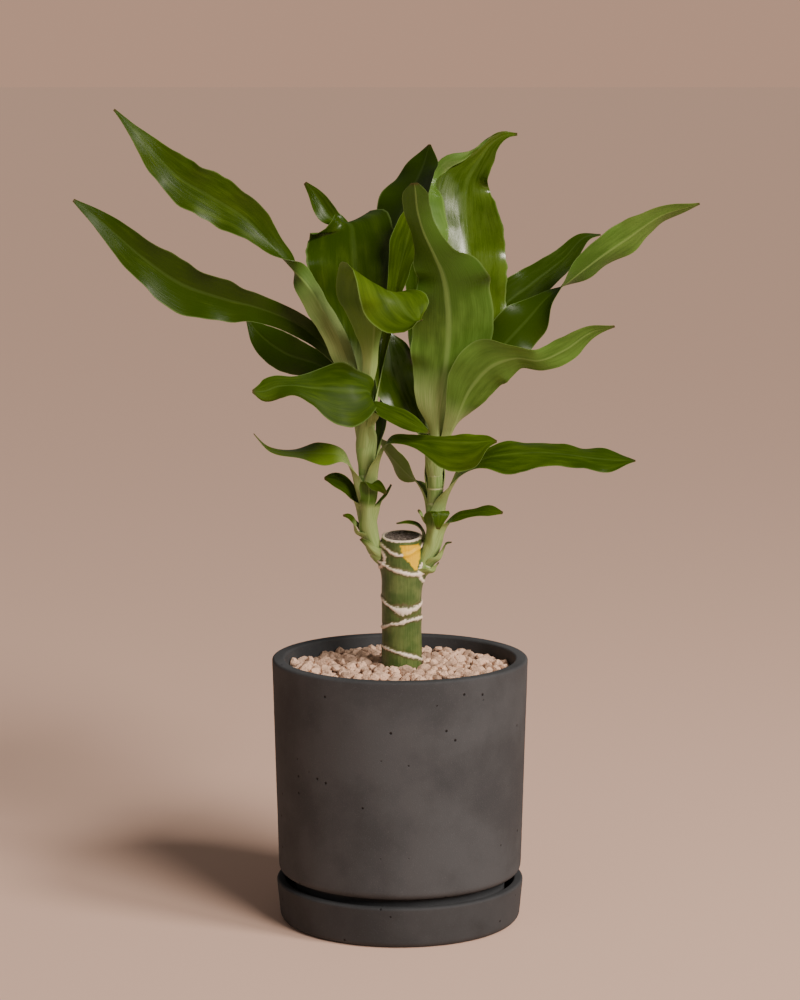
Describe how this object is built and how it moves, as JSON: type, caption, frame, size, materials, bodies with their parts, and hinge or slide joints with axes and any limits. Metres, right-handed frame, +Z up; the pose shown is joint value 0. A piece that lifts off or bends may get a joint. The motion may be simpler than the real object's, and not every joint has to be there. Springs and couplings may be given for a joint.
{
  "type": "potted dracaena",
  "caption": "Young dracaena shoots with glossy strap leaves on a short cut cane, in a round charcoal concrete pot with a saucer and pumice top dressing.",
  "frame": {"origin": "centre of the saucer's flat underside, on the floor and on the pot's axis", "axes": "+Z up along the pot axis and the cane, +X to the right as seen from the front, +Y towards the back"},
  "size_m": [0.3566, 0.1963, 0.4731],
  "materials": {
    "saucer_concrete": "matt dark grey cast concrete with faint clouds and pinholes",
    "concrete": "matt charcoal cast concrete with cloudy patches and small pinholes",
    "soil": "dry crumbly growing medium, hidden by the granules",
    "pumice": "rough pale pinkish beige porous pumice",
    "bark": "smooth green cane with pale corky ring scars",
    "shoot_skin": "smooth pale yellow-green stem and leaf sheaths",
    "leaf_blade": "glossy deep green upper face, satin olive underside, wavy margins"
  },
  "bodies": {
    "root": {"cane": "bark", "left_back_leaf": "leaf_blade", "left_leaf_1": "leaf_blade", "left_leaf_10": "leaf_blade", "left_leaf_11": "leaf_blade", "left_leaf_12": "leaf_blade", "left_leaf_13": "leaf_blade", "left_leaf_14": "leaf_blade", "left_leaf_15": "leaf_blade", "left_leaf_2": "leaf_blade", "left_leaf_3": "leaf_blade", "left_leaf_4": "leaf_blade", "left_leaf_5": "leaf_blade", "left_leaf_6": "leaf_blade", "left_leaf_7": "leaf_blade", "left_leaf_8": "leaf_blade", "left_leaf_9": "leaf_blade", "left_scale_1": "leaf_blade", "left_scale_2": "leaf_blade", "left_scale_3": "leaf_blade", "left_shoot": "shoot_skin", "pot": "concrete", "right_back_leaf": "leaf_blade", "right_leaf_1": "leaf_blade", "right_leaf_10": "leaf_blade", "right_leaf_11": "leaf_blade", "right_leaf_2": "leaf_blade", "right_leaf_3": "leaf_blade", "right_leaf_4": "leaf_blade", "right_leaf_5": "leaf_blade", "right_leaf_6": "leaf_blade", "right_leaf_7": "leaf_blade", "right_leaf_8": "leaf_blade", "right_leaf_9": "leaf_blade", "right_scale_1": "leaf_blade", "right_scale_2": "leaf_blade", "right_scale_3": "leaf_blade", "right_scale_4": "leaf_blade", "right_shoot": "shoot_skin", "saucer": "saucer_concrete", "soil": "soil", "stones": "pumice"}
  },
  "joints": []
}
